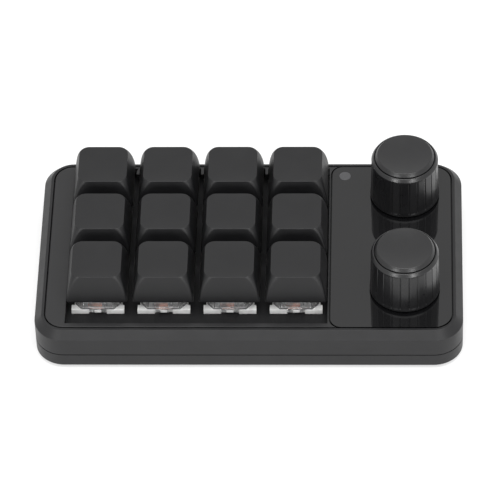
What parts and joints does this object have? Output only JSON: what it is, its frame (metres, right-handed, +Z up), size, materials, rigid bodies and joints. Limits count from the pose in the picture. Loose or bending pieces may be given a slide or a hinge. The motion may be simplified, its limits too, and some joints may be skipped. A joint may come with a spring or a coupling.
{
  "type": "macro keypad with knobs",
  "caption": "Low desk keypad with a recessed well of square mechanical keys, a glossy panel with push-and-turn ribbed knobs and a smoked indicator window.",
  "frame": {"origin": "on the desk under the middle of the case", "axes": "+X to the user's right, +Y away from the user, +Z up"},
  "size_m": [0.1232, 0.0704, 0.0309],
  "materials": {
    "case_plastic": "fine moulded texture, satin",
    "bezel_plastic": "fine moulded texture, satin",
    "panel_acrylic": "polished sheet, mirror gloss",
    "window_acrylic": "smoked, polished",
    "lamp_plastic": "clear resin over a white cup",
    "plate_steel": "black powder coat",
    "white_housing": "moulded, satin",
    "clear_housing": "clear, moulded",
    "contact_copper": "rolled copper alloy",
    "spring_steel": "drawn wire",
    "board_laminate": "green solder mask",
    "chip_plastic": "moulded black resin",
    "small_part_ceramic": "fired, matt",
    "socket_steel": "drawn shell",
    "encoder_plastic": "moulded",
    "bracket_steel": "stamped sheet",
    "bushing_zinc": "die cast and turned",
    "pin_brass": "tinned",
    "screw_steel": "blackened",
    "foot_rubber": "matt",
    "rotor_plastic": "moulded",
    "shaft_aluminium": "turned",
    "knob_plastic": "polished mould, ribbed",
    "knob_cap_plastic": "satin to gloss",
    "keycap_plastic": "fine moulded texture",
    "stem_plastic": "moulded, slick"
  },
  "bodies": {
    "root": {"bottom_case": "case_plastic", "top_case": "case_plastic", "key_bezel": "bezel_plastic", "knob_panel": "panel_acrylic", "indicator_window": "window_acrylic", "indicator_lamp": "lamp_plastic", "switch_plate": "plate_steel", "switch_bottoms": "white_housing", "switch_tops": "clear_housing", "switch_contacts": "contact_copper", "key_springs": "spring_steel", "main_board": "board_laminate", "controller_chip": "chip_plastic", "board_diodes": "chip_plastic", "board_small_parts": "small_part_ceramic", "data_socket": "socket_steel", "data_socket_tongue": "chip_plastic", "encoder_bases": "encoder_plastic", "encoder_brackets": "bracket_steel", "encoder_bushings": "bushing_zinc", "encoder_pins": "pin_brass", "encoder_domes": "spring_steel", "case_screws": "screw_steel", "rubber_feet": "foot_rubber"},
    "key_1": {"keycap_1": "keycap_plastic", "key_stem_1": "stem_plastic"},
    "key_2": {"keycap_2": "keycap_plastic", "key_stem_2": "stem_plastic"},
    "key_3": {"keycap_3": "keycap_plastic", "key_stem_3": "stem_plastic"},
    "key_4": {"keycap_4": "keycap_plastic", "key_stem_4": "stem_plastic"},
    "key_5": {"keycap_5": "keycap_plastic", "key_stem_5": "stem_plastic"},
    "key_6": {"keycap_6": "keycap_plastic", "key_stem_6": "stem_plastic"},
    "key_7": {"keycap_7": "keycap_plastic", "key_stem_7": "stem_plastic"},
    "key_8": {"keycap_8": "keycap_plastic", "key_stem_8": "stem_plastic"},
    "key_9": {"keycap_9": "keycap_plastic", "key_stem_9": "stem_plastic"},
    "key_10": {"keycap_10": "keycap_plastic", "key_stem_10": "stem_plastic"},
    "key_11": {"keycap_11": "keycap_plastic", "key_stem_11": "stem_plastic"},
    "key_12": {"keycap_12": "keycap_plastic", "key_stem_12": "stem_plastic"},
    "rotor_1": {"encoder_rotor_1": "rotor_plastic"},
    "knob_1": {"encoder_shaft_1": "shaft_aluminium", "knob_skirt_1": "knob_plastic", "knob_cap_1": "knob_cap_plastic"},
    "rotor_2": {"encoder_rotor_2": "rotor_plastic"},
    "knob_2": {"encoder_shaft_2": "shaft_aluminium", "knob_skirt_2": "knob_plastic", "knob_cap_2": "knob_cap_plastic"}
  },
  "joints": [
    {"name": "key_1_press", "type": "slide", "parent": "root", "child": "key_1", "axis": [0, 0, 1], "range_m": [-0.004, 0], "stiffness_N_per_m": 80, "springref_m": 0.004, "deforming": ["key_springs"]},
    {"name": "key_2_press", "type": "slide", "parent": "root", "child": "key_2", "axis": [0, 0, 1], "range_m": [-0.004, 0], "stiffness_N_per_m": 80, "springref_m": 0.004, "deforming": ["key_springs"]},
    {"name": "key_3_press", "type": "slide", "parent": "root", "child": "key_3", "axis": [0, 0, 1], "range_m": [-0.004, 0], "stiffness_N_per_m": 80, "springref_m": 0.004, "deforming": ["key_springs"]},
    {"name": "key_4_press", "type": "slide", "parent": "root", "child": "key_4", "axis": [0, 0, 1], "range_m": [-0.004, 0], "stiffness_N_per_m": 80, "springref_m": 0.004, "deforming": ["key_springs"]},
    {"name": "key_5_press", "type": "slide", "parent": "root", "child": "key_5", "axis": [0, 0, 1], "range_m": [-0.004, 0], "stiffness_N_per_m": 80, "springref_m": 0.004, "deforming": ["key_springs"]},
    {"name": "key_6_press", "type": "slide", "parent": "root", "child": "key_6", "axis": [0, 0, 1], "range_m": [-0.004, 0], "stiffness_N_per_m": 80, "springref_m": 0.004, "deforming": ["key_springs"]},
    {"name": "key_7_press", "type": "slide", "parent": "root", "child": "key_7", "axis": [0, 0, 1], "range_m": [-0.004, 0], "stiffness_N_per_m": 80, "springref_m": 0.004, "deforming": ["key_springs"]},
    {"name": "key_8_press", "type": "slide", "parent": "root", "child": "key_8", "axis": [0, 0, 1], "range_m": [-0.004, 0], "stiffness_N_per_m": 80, "springref_m": 0.004, "deforming": ["key_springs"]},
    {"name": "key_9_press", "type": "slide", "parent": "root", "child": "key_9", "axis": [0, 0, 1], "range_m": [-0.004, 0], "stiffness_N_per_m": 80, "springref_m": 0.004, "deforming": ["key_springs"]},
    {"name": "key_10_press", "type": "slide", "parent": "root", "child": "key_10", "axis": [0, 0, 1], "range_m": [-0.004, 0], "stiffness_N_per_m": 80, "springref_m": 0.004, "deforming": ["key_springs"]},
    {"name": "key_11_press", "type": "slide", "parent": "root", "child": "key_11", "axis": [0, 0, 1], "range_m": [-0.004, 0], "stiffness_N_per_m": 80, "springref_m": 0.004, "deforming": ["key_springs"]},
    {"name": "key_12_press", "type": "slide", "parent": "root", "child": "key_12", "axis": [0, 0, 1], "range_m": [-0.004, 0], "stiffness_N_per_m": 80, "springref_m": 0.004, "deforming": ["key_springs"]},
    {"name": "knob_1_turn", "type": "hinge", "parent": "root", "child": "rotor_1", "pos_m": [0.04485, 0.02075, 0], "axis": [0, 0, 1], "continuous": true},
    {"name": "knob_1_push", "type": "slide", "parent": "rotor_1", "child": "knob_1", "axis": [0, 0, 1], "range_m": [-0.0005, 0], "stiffness_N_per_m": 3000, "springref_m": 0.0006},
    {"name": "knob_2_turn", "type": "hinge", "parent": "root", "child": "rotor_2", "pos_m": [0.04485, -0.01675, 0], "axis": [0, 0, 1], "continuous": true},
    {"name": "knob_2_push", "type": "slide", "parent": "rotor_2", "child": "knob_2", "axis": [0, 0, 1], "range_m": [-0.0005, 0], "stiffness_N_per_m": 3000, "springref_m": 0.0006}
  ]
}
